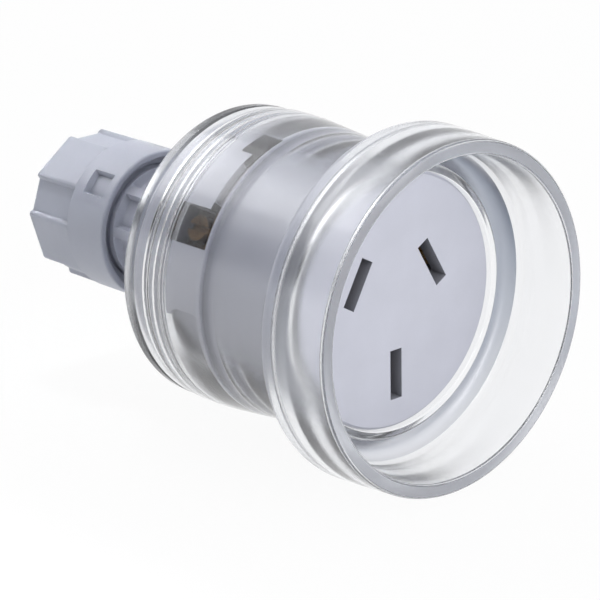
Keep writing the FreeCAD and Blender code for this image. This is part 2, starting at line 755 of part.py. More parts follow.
front_shell()
rear_cap()
socket_insert()
terminal_carrier()
insert_back_plate()
back_plate_screw()
for terminal_name, terminal_angle, terminal_radius in terminals:
    contact(terminal_name, terminal_angle, terminal_radius)
    terminal_block(terminal_name, terminal_angle)
    wire_clamp(terminal_name, terminal_angle)
    terminal_screw(terminal_name, terminal_angle)
gland_stem()
cable_seal()
grip_collet()
thrust_washer()
gland_nut()

doc.recompute()
for item in doc.Objects:
    if "Invalid" in item.State or "Error" in item.State:
        raise RuntimeError(f"{item.Name} failed: {item.State}")
for piece in subparts:
    if piece.Shape.isNull() or not piece.Shape.isValid() or len(piece.Shape.Solids) != 1:
        raise RuntimeError(f"{piece.Label} isn't one valid solid")
os.makedirs("parts", exist_ok=True)
for piece in subparts:
    piece.Shape.exportStep(f"parts/{piece.Label}.step")
    box = piece.Shape.BoundBox
    print(piece.Label, round(piece.Shape.Volume, 1), [round(v, 2) for v in (
        box.XMin, box.XMax, box.YMin, box.YMax, box.ZMin, box.ZMax)])
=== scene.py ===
import json
from math import acos, atan2, cos, degrees, floor, pi, radians, sin, tan
import bmesh
import bpy
from mathutils import Matrix, Vector


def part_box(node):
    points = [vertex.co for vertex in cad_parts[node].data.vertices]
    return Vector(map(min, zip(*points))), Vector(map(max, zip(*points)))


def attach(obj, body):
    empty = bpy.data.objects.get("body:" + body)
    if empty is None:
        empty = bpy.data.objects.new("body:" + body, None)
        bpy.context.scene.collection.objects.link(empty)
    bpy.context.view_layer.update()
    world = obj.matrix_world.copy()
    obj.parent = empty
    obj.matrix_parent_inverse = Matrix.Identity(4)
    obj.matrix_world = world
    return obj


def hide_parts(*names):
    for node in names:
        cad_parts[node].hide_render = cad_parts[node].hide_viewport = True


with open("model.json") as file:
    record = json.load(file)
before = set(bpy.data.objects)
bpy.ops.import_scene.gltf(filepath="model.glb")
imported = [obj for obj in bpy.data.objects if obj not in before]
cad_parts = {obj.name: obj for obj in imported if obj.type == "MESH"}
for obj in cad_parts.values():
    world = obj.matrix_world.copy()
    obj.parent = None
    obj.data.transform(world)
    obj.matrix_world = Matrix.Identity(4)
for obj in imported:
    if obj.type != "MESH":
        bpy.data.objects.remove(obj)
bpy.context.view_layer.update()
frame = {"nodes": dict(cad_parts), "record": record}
record = frame["record"]

# The object's frame: the origin is the centre of the socket face, -Y looks out of the face,
# +Y runs to the cable gland and +Z is up. A place is a distance along Y, and an angle goes
# round that axis from +X towards +Z. The part's sizes are in millimetres. Bump depths, the
# reach of shade, the floor and the lamps are in metres.
MM = 0.001
TURN = 2 * pi
SAME_POINT = 0.0005
SAME_RADIUS = 0.02


def low_y(node):
    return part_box(node)[0].y / MM


def high_y(node):
    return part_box(node)[1].y / MM


def high_x(node):
    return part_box(node)[1].x / MM


def body_of(node):
    """The CAD body that holds a node."""
    for body, nodes in record["behaviour"]["bodies"].items():
        if node in nodes:
            return body
    raise ValueError(node)


def slot_of(node):
    """The record's material slot of a node."""
    return next(item["material_slot"] for item in record["subparts"] if item["node"] == node)


# Lathed pieces. Edges that turn by more than SHARP degrees stay sharp.
SHARP = 28
FILLET_STEPS = 7


def rounded_outline(corners):
    """Turn (radius, place, fillet) corners into points, with an arc at each filleted corner."""
    points = []
    count = len(corners)
    for index, (x, y, fillet) in enumerate(corners):
        here = Vector((x, y))
        if not fillet:
            points.append((x, y))
            continue
        before = Vector(corners[index - 1][:2]) - here
        after = Vector(corners[(index + 1) % count][:2]) - here
        before.normalize()
        after.normalize()
        half = acos(max(-1, min(1, before.dot(after)))) / 2
        reach = fillet / tan(half)
        centre = here + (before + after).normalized() * (fillet / sin(half))
        start = here + before * reach - centre
        sweep = pi - 2 * half
        side = 1 if start.x * (here - centre).y - start.y * (here - centre).x > 0 else -1
        for step in range(FILLET_STEPS + 1):
            angle = side * sweep * step / FILLET_STEPS
            points.append((
                centre.x + start.x * cos(angle) - start.y * sin(angle),
                centre.y + start.x * sin(angle) + start.y * cos(angle)))
    return points


def divided(points, step, warped):
    """Divide long sides of a closed outline: finely where warped says, else only close to the ends.

    The short pieces at the ends keep the long middle flat in smooth shading. Points that
    fall together are left out.
    """
    out = []
    for index, (x, y) in enumerate(points):
        nx, ny = points[(index + 1) % len(points)]
        length = ((nx - x) ** 2 + (ny - y) ** 2) ** 0.5
        if length < SAME_POINT:
            continue
        parts = max(1, round(length / step))
        for part in range(parts):
            point = (x + (nx - x) * part / parts, y + (ny - y) * part / parts)
            if part in (0, 1, parts - 1) or warped(*point):
                out.append(point)
    return out


def lathe(name, points, segments, warp, sharp=SHARP, zone=None):
    """Turn a closed outline of (radius, place) points round the Y axis.

    warp gives a point's radius at an angle. zone gives the material index of the side
    between two points.
    """
    vertices = []
    for step in range(segments):
        angle = TURN * step / segments
        for radius, place in points:
            r = warp(radius, place, angle)
            vertices.append((r * cos(angle) * MM, place * MM, r * sin(angle) * MM))
    count = len(points)
    faces = []
    for step in range(segments):
        this, following = step * count, ((step + 1) % segments) * count
        for index in range(count):
            other = (index + 1) % count
            faces.append((this + index, this + other, following + other, following + index))
    ends = zip(points, points[1:] + points[:1])
    area = sum(first[0] * second[1] - second[0] * first[1] for first, second in ends)
    if area < 0:
        faces = [tuple(reversed(face)) for face in faces]
    mesh = bpy.data.meshes.new(name)
    mesh.from_pydata(vertices, [], faces)
    mesh.update()
    if zone:
        indices = [zone(first, second) for first, second in zip(points, points[1:] + points[:1])]
        mesh.polygons.foreach_set("material_index", indices * segments)
    mesh.shade_smooth()
    mesh.set_sharp_from_angle(angle=radians(sharp))
    return linked(name, mesh)


def linked(name, data):
    """A new object in the scene."""
    piece = bpy.data.objects.new(name, data)
    bpy.context.scene.collection.objects.link(piece)
    return piece


def stands_for(piece, node, *materials):
    """Give a piece its materials and let it stand for a CAD node."""
    for material in materials:
        piece.data.materials.append(material)
    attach(piece, body_of(node))
    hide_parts(node)


# Shader nodes
NOISE_LOW = 0.3
NOISE_HIGH = 0.7
OPEN_LOW = 0.35
OPEN_HIGH = 0.9
SHADE_SAMPLES = 8


def add(tree, kind, **values):
    """A new node with its settings."""
    node = tree.nodes.new(kind)
    for key, value in values.items():
        setattr(node, key, value)
    return node


def feed(tree, value, socket):
    """Set a socket to a number, or link another socket to it."""
    if isinstance(value, float):
        socket.default_value = value
    else:
        tree.links.new(value, socket)


def node_tree(name):
    """A new material and its empty tree."""
    material = bpy.data.materials.new(name)
    material.use_nodes = True
    tree = material.node_tree
    tree.nodes.clear()
    return material, tree


def noise(tree, scale, detail, stretch=None):
    """Noise in object coordinates, which are metres on the part."""
    way = add(tree, "ShaderNodeTexCoord").outputs["Object"]
    if stretch:
        mapping = add(tree, "ShaderNodeMapping")
        mapping.inputs["Scale"].default_value = stretch
        tree.links.new(way, mapping.inputs["Vector"])
        way = mapping.outputs["Vector"]
    texture = add(tree, "ShaderNodeTexNoise")
    texture.inputs["Scale"].default_value = scale
    texture.inputs["Detail"].default_value = detail
    tree.links.new(way, texture.inputs["Vector"])
    return texture.outputs["Fac"]


def remap(tree, source, low, high, start=NOISE_LOW, stop=NOISE_HIGH):
    """low where a value is start or less, high where it is stop or more, and between in between."""
    node = add(tree, "ShaderNodeMapRange")
    node.inputs["From Min"].default_value = start
    node.inputs["From Max"].default_value = stop
    node.inputs["To Min"].default_value = low
    node.inputs["To Max"].default_value = high
    tree.links.new(source, node.inputs["Value"])
    return node.outputs["Result"]


def ramp(tree, source, first, last):
    """A colour between two stops, each of them a position and a colour."""
    node = add(tree, "ShaderNodeValToRGB")
    for element, (position, colour) in zip(node.color_ramp.elements, (first, last)):
        element.position = position
        element.color = (*colour, 1)
    tree.links.new(source, node.inputs["Fac"])
    return node.outputs["Color"]


def bump(tree, source, strength, depth):
    node = add(tree, "ShaderNodeBump")
    node.inputs["Strength"].default_value = strength
    node.inputs["Distance"].default_value = depth
    tree.links.new(source, node.inputs["Height"])
    return node.outputs["Normal"]


def calc(tree, operation, first, second):
    """Arithmetic on a socket and another socket or a number."""
    node = add(tree, "ShaderNodeMath", operation=operation)
    tree.links.new(first, node.inputs[0])
    feed(tree, second, node.inputs[1])
    return node.outputs[0]


def mixed(tree, share, first, second):
    """A mix of two shaders, with a share of the second from 0 to 1."""
    node = add(tree, "ShaderNodeMixShader")
    feed(tree, share, node.inputs["Fac"])
    tree.links.new(first, node.inputs[1])
    tree.links.new(second, node.inputs[2])
    return node.outputs[0]


def painted_crevice_shade(tree, colour, reach, dark, own_walls=True):
    """Paint shade into a colour where walls stand close by, as deep in a window.

    dark is what is left of the colour there. With own_walls, other pieces cast no shade.
    """
    hidden = add(tree, "ShaderNodeAmbientOcclusion", samples=SHADE_SAMPLES, only_local=own_walls)
    hidden.inputs["Distance"].default_value = reach
    shaded = add(tree, "ShaderNodeMixRGB", blend_type="MULTIPLY")
    shaded.inputs["Fac"].default_value = 1.0
    tree.links.new(colour, shaded.inputs["Color1"])
    share = remap(tree, hidden.outputs["AO"], dark, 1.0, OPEN_LOW, OPEN_HIGH)
    tree.links.new(share, shaded.inputs["Color2"])
    return shaded.outputs["Color"]


# Materials. A grain or a scale is about how many waves of noise go into a metre.
CLOUD_SCALE = 160
GRAIN_SCALE = 2600
RUBBER_GRAIN = 4200
GRAIN_DEPTH = 0.000008
RUBBER_DEPTH = 0.00003
HAZE_DEPTH = 0.00002
SWELL_SCALE = 55
SWELL_DEPTH = 0.0002
SCUFF_SCALE = 240
TARNISH_SCALE = 420
MARK_SCALE = 3000
MARK_DEPTH = 0.00002
PLASTIC_IOR = 1.5
CLEAR_IOR = 1.55
SHADOW_TINT = (0.88, 0.885, 0.90)
DEPTH_TINT = (0.42, 0.48, 0.56)
DEPTH_DENSITY = 16


def opaque(name):
    """A material with one plain shader on its surface."""
    material, tree = node_tree(name)
    shader = add(tree, "ShaderNodeBsdfPrincipled")
    out = add(tree, "ShaderNodeOutputMaterial")
    tree.links.new(shader.outputs[0], out.inputs["Surface"])
    return material, tree, shader


def moulded(name, colour, roughness, grain=GRAIN_SCALE, depth=GRAIN_DEPTH, cast=0.03,
            reach=0.0, dark=1.0, gloss=0.5):
    """Opaque moulded plastic: a slight cast in its colour, a fine spark-eroded grain, and with a reach
    painted shade in crevices.
    """
    material, tree, shader = opaque(name)
    low = tuple(value * (1 - cast) for value in colour)
    high = tuple(min(1, value * (1 + cast)) for value in colour)
    cloud = noise(tree, CLOUD_SCALE, 4)
    shade = ramp(tree, cloud, (NOISE_LOW, low), (NOISE_HIGH, high))
    if reach:
        shade = painted_crevice_shade(tree, shade, reach, dark)
    tree.links.new(shade, shader.inputs["Base Color"])
    fine = noise(tree, grain, 2)
    tree.links.new(remap(tree, fine, roughness - 0.05, roughness + 0.06), shader.inputs["Roughness"])
    tree.links.new(bump(tree, fine, 0.35, depth), shader.inputs["Normal"])
    shader.inputs["IOR"].default_value = PLASTIC_IOR
    shader.inputs["Specular IOR Level"].default_value = gloss
    return material


def clear_plastic(name, tint, roughness, frost, frost_colour):
    """Clear polycarbonate that greys over a long path. Shadow rays pass, so the inside is lit.

    roughness is its lowest and highest. frost is the share of a matt skin, which is a faint
    haze on polished faces and more on spark-eroded ones.
    """
    material, tree = node_tree(name)
    glass = add(tree, "ShaderNodeBsdfPrincipled")
    glass.inputs["Base Color"].default_value = (*tint, 1)
    glass.inputs["Transmission Weight"].default_value = 1.0
    glass.inputs["IOR"].default_value = CLEAR_IOR
    scuffs = remap(tree, noise(tree, SCUFF_SCALE, 4), *roughness)
    tree.links.new(scuffs, glass.inputs["Roughness"])
    swell = bump(tree, noise(tree, SWELL_SCALE, 2), 0.03, SWELL_DEPTH)
    tree.links.new(swell, glass.inputs["Normal"])
    skin = add(tree, "ShaderNodeBsdfPrincipled")
    skin.inputs["Base Color"].default_value = (*frost_colour, 1)
    skin.inputs["Roughness"].default_value = 0.6
    grain = bump(tree, noise(tree, GRAIN_SCALE, 2), 0.4, HAZE_DEPTH)
    tree.links.new(grain, skin.inputs["Normal"])
    through = add(tree, "ShaderNodeBsdfTransparent")
    through.inputs["Color"].default_value = (*SHADOW_TINT, 1)
    body = add(tree, "ShaderNodeVolumeAbsorption")
    body.inputs["Color"].default_value = (*DEPTH_TINT, 1)
    body.inputs["Density"].default_value = DEPTH_DENSITY
    path = add(tree, "ShaderNodeLightPath")
    frosted = mixed(tree, frost, glass.outputs[0], skin.outputs[0])
    surface = mixed(tree, path.outputs["Is Shadow Ray"], frosted, through.outputs[0])
    out = add(tree, "ShaderNodeOutputMaterial")
    tree.links.new(surface, out.inputs["Surface"])
    tree.links.new(body.outputs[0], out.inputs["Volume"])
    return material


def metal(name, colour, dull, roughness, grain=(1, 1, 1), reach=0.0, dark=1.0):
    """Worked metal: tarnish in its colour, fine tool marks, and painted shade where it lies deep."""
    material, tree, shader = opaque(name)
    shader.inputs["Metallic"].default_value = 1.0
    shade = ramp(tree, noise(tree, TARNISH_SCALE, 5), (0.35, dull), (0.65, colour))
    if reach:
        shade = painted_crevice_shade(tree, shade, reach, dark, own_walls=False)
    tree.links.new(shade, shader.inputs["Base Color"])
    marks = noise(tree, MARK_SCALE, 3, stretch=grain)
    tree.links.new(remap(tree, marks, roughness - 0.08, roughness + 0.14), shader.inputs["Roughness"])
    tree.links.new(bump(tree, marks, 0.3, MARK_DEPTH), shader.inputs["Normal"])
    return material


CLEAR = clear_plastic(
    "clear_shell", tint=(0.985, 0.988, 0.995), roughness=(0.10, 0.16),
    frost=0.02, frost_colour=(0.72, 0.73, 0.78))
FROSTED_FLOOR = clear_plastic(
    "clear_frosted_floor", tint=(0.84, 0.85, 0.90), roughness=(0.3, 0.45),
    frost=0.18, frost_colour=(0.40, 0.41, 0.48))
FROSTED_LIP = clear_plastic(
    "clear_frosted_lip", tint=(0.88, 0.89, 0.92), roughness=(0.3, 0.45),
    frost=0.4, frost_colour=(0.62, 0.63, 0.68))
# With a reach, these plastics get painted shade where walls stand close by; on the carrier it is nearly
# black deep in the windows.
INSERT_GREY = moulded("grey_insert", (0.50, 0.51, 0.58), 0.38, reach=0.005, dark=0.5)
CARRIER_GREY = moulded("grey_carrier", (0.50, 0.51, 0.58), 0.38, reach=0.007, dark=0.04)
# Near-black painted shade for the walls and floors of the windows, where only shade falls.
PAINTED_WINDOW_SHADE = moulded("painted_shade_window", (0.015, 0.015, 0.018), 0.8, gloss=0.05)
GLAND_GREY = moulded("grey_gland", (0.38, 0.40, 0.47), 0.36, reach=0.002, dark=0.7)
STEM_GREY = moulded("grey_stem", (0.46, 0.48, 0.56), 0.42, reach=0.002, dark=0.8)
# The block brass is darker than the strip's, as painted shade for where it lies deep behind the
# windows; block and screw also get painted shade in crevices.
BRASS = metal("brass_block", (0.50, 0.34, 0.17), (0.30, 0.19, 0.10), 0.38, reach=0.003, dark=0.2)
BRASS_STRIP = metal("brass_strip", (0.72, 0.53, 0.28), (0.52, 0.36, 0.18), 0.26, grain=(1, 0.1, 1))
BRASS_SCREW = metal("brass_screw", (0.70, 0.43, 0.21), (0.30, 0.18, 0.08), 0.32, reach=0.003, dark=0.4)
STEEL = metal("plated_steel", (0.72, 0.72, 0.74), (0.52, 0.53, 0.56), 0.25)
RUBBER = moulded("seal_rubber", (0.03, 0.03, 0.033), 0.75, RUBBER_GRAIN, RUBBER_DEPTH, cast=0.12)
WASHER = moulded("white_washer", (0.80, 0.80, 0.77), 0.3)

SLOT_MATERIAL = {
    "clear_shell": CLEAR, "grey_insert": INSERT_GREY, "grey_gland": GLAND_GREY,
    "grey_stem": STEM_GREY, "brass_strip": BRASS_STRIP, "brass_block": BRASS,
    "brass_screw": BRASS_SCREW, "plated_steel": STEEL, "seal_rubber": RUBBER,
    "white_washer": WASHER}
for node_name, node_object in frame["nodes"].items():
    node_object.data.materials.clear()
    node_object.data.materials.append(SLOT_MATERIAL[slot_of(node_name)])

# Clear shell and cap
LIP = low_y("front_shell")
LIP_RADIUS = 24.13
LIP_FLAT = 0.03
MOUTH_RADIUS = 22.13
SHROUD_RADIUS = 24.68
SHROUD_REAR = -0.5
NECK = 3.7
NECK_RADIUS = 19.2
DRUM_RADIUS = 21.1
DRUM_BEND = 30
DRUM_WALL_MIDDLE = DRUM_RADIUS - 0.5
RIM = high_y("front_shell")
THREAD_START = 23.7
THREAD_PITCH = 1.15
THREAD_DEPTH = 0.13
THREAD_BORE = 19.95
INSERT_BORE = 19.4
SEAT = 17.0
SEAT_SLOPE = 1.0
FRONT_BORE = 17.85
BEAD_RADIUS = 19.1
BEAD_HEIGHT = 0.6
FLOOR_RADIUS = 21.53
FLOOR_COVE = 1.6
CAP_FRONT = low_y("rear_cap")
CAP_END = high_y("rear_cap")
CAP_GAP = 0.1
CAP_BAND = 4.1
CAP_RADIUS = 20.95
CAP_THREAD = 19.87
CAP_WALL_MIDDLE = 19
CAP_BORE = 18.6
CAP_LAND = 1.0
CAP_WALL = 1.8
CAP_NECK = 11.6
CAP_HOLE = 8.68
GROOVE_SHARE = 0.55
GROOVE_HALF = 0.35
GROOVE_RADIUS = 20.6
SHELL_SEGMENTS = 256
SHELL_STEP = 0.12


def thread_wave(place, angle, pitch):
    """A rounded thread form from 0 at the root to 1 at the crest."""
    phase = place / pitch - angle / TURN
    phase -= floor(phase)
    return 0.5 - 0.5 * cos(TURN * phase)


def front_shell():
    thread_front = THREAD_START + 0.3
    thread_rear = RIM - 0.25
    corners = [
        (MOUTH_RADIUS, LIP, 0.35), (LIP_RADIUS, LIP, 0.45), (SHROUD_RADIUS, SHROUD_REAR, 1.6),
        (NECK_RADIUS, NECK, 2.2), (DRUM_RADIUS, THREAD_START, DRUM_BEND), (DRUM_RADIUS, RIM, 0.4),
        (THREAD_BORE, RIM, 0.15), (THREAD_BORE, THREAD_START, 0), (INSERT_BORE, THREAD_START, 0),
        (INSERT_BORE, SEAT, 1.2), (FRONT_BORE, SEAT - SEAT_SLOPE, 1.2),
        (FRONT_BORE, -BEAD_HEIGHT, 0.2), (BEAD_RADIUS, -BEAD_HEIGHT, 0.45),
        (BEAD_RADIUS, 0, 0.15), (FLOOR_RADIUS, 0, FLOOR_COVE)]

    def warp(radius, place, angle):
        if abs(radius - THREAD_BORE) < SAME_RADIUS and thread_front < place < thread_rear:
            return radius + THREAD_DEPTH * thread_wave(place, angle, THREAD_PITCH)
        return radius

    def warped(radius, place):
        return radius < DRUM_WALL_MIDDLE and place > THREAD_START

    def zone(first, second):
        """1 on the floor of the recess and its cove, 2 on the flat lip, and 0 elsewhere."""
        inner, outer = sorted((first[0], second[0]))
        front, rear = sorted((first[1], second[1]))
        if rear < LIP + LIP_FLAT:
            return 2
        on_floor = BEAD_RADIUS - SAME_RADIUS < inner and outer < MOUTH_RADIUS
        return 1 if on_floor and -FLOOR_COVE - 0.1 < front and rear < LIP_FLAT else 0

    points = divided(rounded_outline(corners), SHELL_STEP, warped)
    return lathe("front_shell_skin", points, SHELL_SEGMENTS, warp, zone=zone)


def rear_cap():
    front = RIM + CAP_GAP
    band_end = front + CAP_BAND
    cone_end = CAP_END - CAP_LAND
    inner_end = cone_end - CAP_WALL
    groove = front + CAP_BAND * GROOVE_SHARE
    thread_front = CAP_FRONT + 0.4
    thread_rear = front - 0.2
    corners = [
        (CAP_BORE, CAP_FRONT, 0.2), (CAP_THREAD, CAP_FRONT, 0.25), (CAP_THREAD, front, 0),
        (CAP_RADIUS, front, 0.3), (CAP_RADIUS, groove - GROOVE_HALF, 0.1),
        (GROOVE_RADIUS, groove, 0.1), (CAP_RADIUS, groove + GROOVE_HALF, 0.1),
        (CAP_RADIUS, band_end, 0.8), (CAP_NECK, cone_end, 0.5), (CAP_NECK, CAP_END, 0.3),
        (CAP_HOLE, CAP_END, 0.2), (CAP_HOLE, inner_end, 0.2), (CAP_NECK, inner_end, 0.6),
        (CAP_BORE, band_end - 0.1, 0.8)]

    def warp(radius, place, angle):
        if abs(radius - CAP_THREAD) < SAME_RADIUS and thread_front < place < thread_rear:
            return radius - THREAD_DEPTH * (1 - thread_wave(place, angle, THREAD_PITCH))
        return radius

    def warped(radius, place):
        return radius > CAP_WALL_MIDDLE and place < front

    points = divided(rounded_outline(corners), SHELL_STEP, warped)
    return lathe("rear_cap_skin", points, SHELL_SEGMENTS, warp)


stands_for(front_shell(), "front_shell", CLEAR, FROSTED_FLOOR, FROSTED_LIP)
stands_for(rear_cap(), "rear_cap", CLEAR)

# Insert and carrier: the CAD solids, with the step, windows and recesses as far forward as
# they look. Angles are in degrees. The solid's own top recess is filled and cut further round.
FLANGE_RADIUS = high_x("socket_insert")
FLANGE_FRONT = 17.8
JOINT = low_y("terminal_carrier")
TERMINAL_ANGLES = (30, 150, 270)
WINDOW_FRONT = SEAT + 0.3
WINDOW_REAR = JOINT + 2
WINDOW_FLOOR = 15.6
WINDOW_WIDTH = 5.3
WINDOW_EDGE = 0.1
TOP_WINDOW_ANGLE = 107.5
TOP_WINDOW_REAR = 21.2
TOP_WINDOW_WIDTH = 4.3
TOP_WINDOW_EDGE = 0.3
SIDE_RECESS_ANGLES = (203, -23)
SIDE_RECESS_REAR = JOINT + 4
SIDE_RECESS_FLOOR = 17.2
SIDE_RECESS_WIDTH = 12.8
SIDE_RECESS_EDGE = 1.5
CHANNEL_ANGLES = (112, 143)
CHANNEL_REAR = 19.0
CHANNEL_FLOOR = 18.1
FILLED_ANGLES = (82, 108)
FILLED_PLACES = (19.4, 25.4)
FILLED_FLOOR = 16.9
OUTSIDE = 21.0
# Faces of the windows within these angles, places and radii get the painted shade material.
DARK_ANGLES = TERMINAL_ANGLES + (TOP_WINDOW_ANGLE,)
DARK_REACH = 11
DARK_ROOM = 0.1
DARK_SKIN = 0.2
SAME_PLACE = 0.1
MERGE = 0.001
BLOCK_SHARP = 40


def block(name, low, high, edge):
    """A rectangular piece with bevelled edges."""
    mesh = bpy.data.meshes.new(name)
    form = bmesh.new()
    bmesh.ops.create_cube(form, size=1)
    middle = [(a + b) / 2 for a, b in zip(low, high)]
    size = [b - a for a, b in zip(low, high)]
    for vertex in form.verts:
        vertex.co = Vector([(m + v * s) * MM for m, v, s in zip(middle, vertex.co, size)])
    bmesh.ops.bevel(form, geom=form.edges[:], offset=edge * MM, segments=2, profile=0.5, affect="EDGES")
    form.to_mesh(mesh)
    form.free()
    mesh.shade_smooth()
    mesh.set_sharp_from_angle(angle=radians(BLOCK_SHARP))
    return linked(name, mesh)


def sector(name, inner, outer, angles, places):
    """A closed piece of a ring, between two radii, two angles in degrees and two places."""
    first, last = (radians(angle) for angle in angles)
    steps = max(2, round((last - first) / radians(1)))
    corners = ((inner, places[0]), (outer, places[0]), (outer, places[1]), (inner, places[1]))
    form = bmesh.new()
    rings = []
    for step in range(steps + 1):
        angle = first + (last - first) * step / steps
        ring = []
        for radius, place in corners:
            ring.append(form.verts.new(Vector((radius * cos(angle), place, radius * sin(angle))) * MM))
        rings.append(ring)
    for this, following in zip(rings, rings[1:]):
        for index in range(4):
            other = (index + 1) % 4
            form.faces.new((this[index], this[other], following[other], following[index]))
    form.faces.new(rings[0][::-1])
    form.faces.new(rings[-1])
    bmesh.ops.recalc_face_normals(form, faces=form.faces)
    mesh = bpy.data.meshes.new(name)
    form.to_mesh(mesh)
    form.free()
    return linked(name, mesh)


def combine(piece, operation, other):
    """Cut the other form from a piece, or join it to the piece. The other form is used up."""
    modifier = piece.modifiers.new("combine", "BOOLEAN")
    modifier.operation = operation
    modifier.solver = "EXACT"
    modifier.object = other
    bpy.context.view_layer.objects.active = piece
    bpy.ops.object.modifier_apply(modifier=modifier.name)
    bpy.data.objects.remove(other)


def cut(piece, angle, width, bottom, places, edge):
    """Cut an opening from a floor radius to the outside, at an angle in degrees."""
    other = block("cutter", (bottom, places[0], -width / 2), (OUTSIDE, places[1], width / 2), edge)
    other.data.transform(Matrix.Rotation(-radians(angle), 4, "Y"))
    combine(piece, "DIFFERENCE", other)


def solid_of(node):
    """A closed copy of a CAD node, which can be cut."""
    form = bmesh.new()
    form.from_mesh(frame["nodes"][node].data)
    bmesh.ops.remove_doubles(form, verts=form.verts, dist=MERGE * MM)
    form.verts.index_update()
    mesh = bpy.data.meshes.new(node + "_skin")
    faces = [[vertex.index for vertex in face.verts] for face in form.faces]
    mesh.from_pydata([vertex.co for vertex in form.verts], [], faces)
    form.free()
    return linked(node + "_skin", mesh)


def in_window(point):
    """Whether a point, in metres, lies on the walls or the floor of a window, which get painted shade.
    """
    radius = Vector((point.x, point.z)).length / MM
    place = point.y / MM
    angle = degrees(atan2(point.z, point.x))
    off = min(abs((angle - other + 180) % 360 - 180) for other in DARK_ANGLES)
    along = WINDOW_FRONT - DARK_ROOM < place < WINDOW_REAR + DARK_ROOM
    return along and off < DARK_REACH and WINDOW_FLOOR - DARK_SKIN < radius < FLANGE_RADIUS - DARK_SKIN


def cut_openings(piece):
    """The windows over the terminal screws, the top window and the side recesses.

    The insides of the windows get the second material, a near-black painted shade.
    """
    for angle in TERMINAL_ANGLES:
        cut(piece, angle, WINDOW_WIDTH, WINDOW_FLOOR, (WINDOW_FRONT, WINDOW_REAR), WINDOW_EDGE)
    top = (WINDOW_FRONT, TOP_WINDOW_REAR)
    cut(piece, TOP_WINDOW_ANGLE, TOP_WINDOW_WIDTH, WINDOW_FLOOR, top, TOP_WINDOW_EDGE)
    side = (WINDOW_FRONT, SIDE_RECESS_REAR)
    for angle in SIDE_RECESS_ANGLES:
        cut(piece, angle, SIDE_RECESS_WIDTH, SIDE_RECESS_FLOOR, side, SIDE_RECESS_EDGE)
    form = bmesh.new()
    form.from_mesh(piece.data)
    bmesh.ops.dissolve_degenerate(form, edges=form.edges, dist=SAME_POINT * MM)
    form.to_mesh(piece.data)
    form.free()
    for face in piece.data.polygons:
        face.material_index = 1 if in_window(face.center) else 0
    piece.data.shade_smooth()
    piece.data.set_sharp_from_angle(angle=radians(SHARP))
    return piece


def insert():
    piece = solid_of("socket_insert")
    for vertex in piece.data.vertices:
        if abs(vertex.co.y - FLANGE_FRONT * MM) < SAME_PLACE * MM:
            vertex.co.y = SEAT * MM
    channel = sector("channel", CHANNEL_FLOOR, OUTSIDE, CHANNEL_ANGLES, (WINDOW_FRONT, CHANNEL_REAR))
    combine(piece, "DIFFERENCE", channel)
    return cut_openings(piece)


def carrier():
    piece = solid_of("terminal_carrier")
    filler = sector("filler", FILLED_FLOOR, FLANGE_RADIUS, FILLED_ANGLES, FILLED_PLACES)
    combine(piece, "UNION", filler)
    return cut_openings(piece)


stands_for(insert(), "socket_insert", INSERT_GREY, PAINTED_WINDOW_SHADE)
stands_for(carrier(), "terminal_carrier", CARRIER_GREY, PAINTED_WINDOW_SHADE)

# Gland nut: a collar with three windows, then five wide lobes with channels between them
NUT_FRONT = low_y("gland_nut")
NUT_END = high_y("gland_nut")
NUT_BORE = 9.96
NUT_THREAD = 8.68
NUT_HOLE = 5.6
NUT_END_WALL = 2.3
WASHER_RADIUS = 7.8
WASHER_ROOM = 0.9
COLLAR_LENGTH = 7.8
COLLAR_RADIUS = 10.96
COLLAR_RECESS = 1.6
GRIP_STEP = 0.2
GRIP_RADIUS = 10.5
LOBES = 5
LOBE_FLAT = 10.36
LOBE_CORNER = 10.96
LOBE_EDGE = (0.012, 0.03)
CHANNEL_HALF = radians(13.5)
CHANNEL_PHASE = radians(17.5)
CHANNEL_FLAT = 10.06
NUT_INSIDE = 9.0
NUT_OUTSIDE = 10.2
NUT_WINDOWS = 3
NUT_WINDOW_PHASE = radians(18.5)
NUT_WINDOW_START = 1.5
NUT_WINDOW_LENGTH = 4.1
NUT_WINDOW_HALF = 1.8
NUT_WINDOW_DEPTH = 0.9
NUT_WINDOW_EDGE = 0.08
NUT_SEGMENTS = 480
NUT_STEP = 0.16
GLAND_SHARP = 40


def smooth(value, start, stop):
    """0 below start, 1 above stop, eased between."""
    share = max(0.0, min(1.0, (value - start) / (stop - start)))
    return share * share * (3 - 2 * share)


def off_centre(angle, phase, count):
    """How far an angle is from the nearest of count evenly spaced directions."""
    pitch = TURN / count
    return abs((angle - phase + pitch / 2) % pitch - pitch / 2)


def grip_radius(angle):
    """Outside of the grip: flat lobes with lower flats between them."""
    off = off_centre(angle, CHANNEL_PHASE, LOBES)
    lobe = min(LOBE_CORNER, LOBE_FLAT / cos(TURN / LOBES / 2 - off))
    channel = CHANNEL_FLAT / cos(off)
    share = smooth(off, CHANNEL_HALF - LOBE_EDGE[0], CHANNEL_HALF + LOBE_EDGE[1])
    return channel + (lobe - channel) * share


